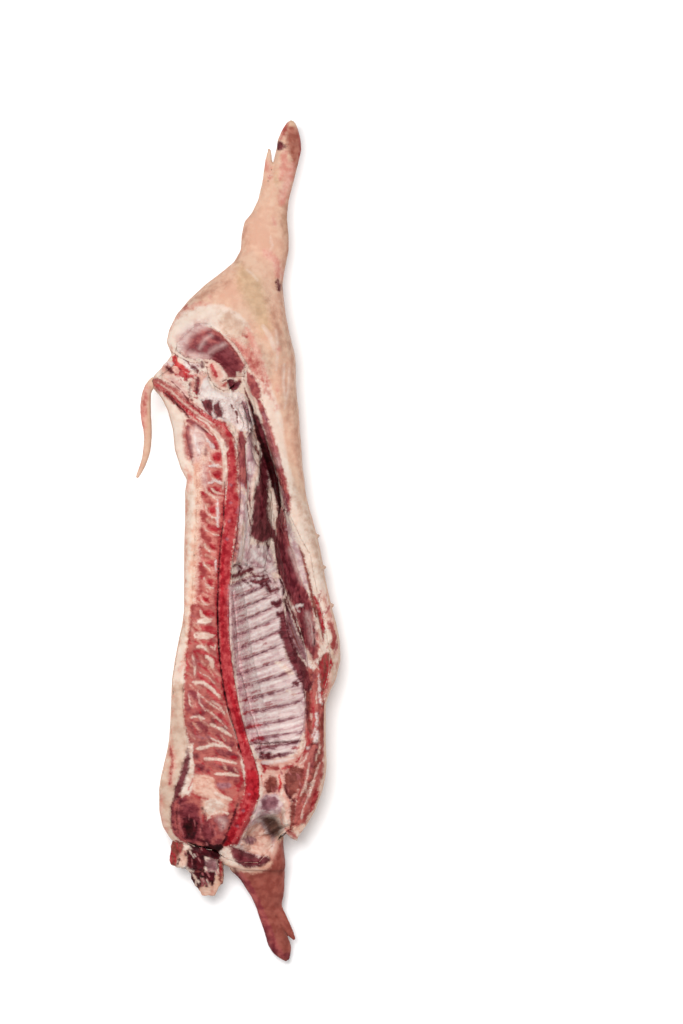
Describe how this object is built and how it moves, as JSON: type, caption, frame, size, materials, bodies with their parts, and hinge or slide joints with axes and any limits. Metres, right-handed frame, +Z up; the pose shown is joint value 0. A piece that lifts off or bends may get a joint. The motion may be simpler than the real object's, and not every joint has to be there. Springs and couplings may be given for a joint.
{
  "type": "half pig carcass",
  "caption": "Half pig carcass without the head, split down the backbone and gutted, lying on its skin side with the sawn side up, both feet and the tail left on.",
  "frame": {"origin": "on the surface the side lies on, below the middle of its bounding box", "axes": "+Y from the neck to the hind foot, +X from the back to the belly, +Z up out of the sawn side"},
  "size_m": [0.4252, 1.7529, 0.173],
  "materials": {
    "skin_and_fat": "moist rind with a dull sheen, cream fat where it is cut",
    "lean_meat": "moist cut meat, salmon to dark red, with cream fat between the muscles",
    "backbone": "wet sawn bone full of red marrow",
    "aitch_bone": "wet sawn bone with a pale rim",
    "ham_muscle": "dark muscle under a whitish membrane",
    "breastbone": "sawn gristle and bone",
    "skirt": "dark red muscle with a pale membrane",
    "tenderloin": "dark muscle in grey-pink membrane",
    "pelvic_fat": "soft white fat",
    "rib_wall": "ribs under a glossy pale membrane",
    "tail": "moist rind",
    "neck_trim": "ragged dark meat with grey glands and cream fat"
  },
  "bodies": {
    "root": {"skin_and_fat": "skin_and_fat", "lean_meat": "lean_meat", "backbone": "backbone", "aitch_bone": "aitch_bone", "ham_muscle": "ham_muscle", "breastbone": "breastbone", "skirt": "skirt", "tenderloin": "tenderloin", "pelvic_fat": "pelvic_fat", "rib_wall": "rib_wall", "tail": "tail", "neck_trim": "neck_trim"}
  },
  "joints": []
}
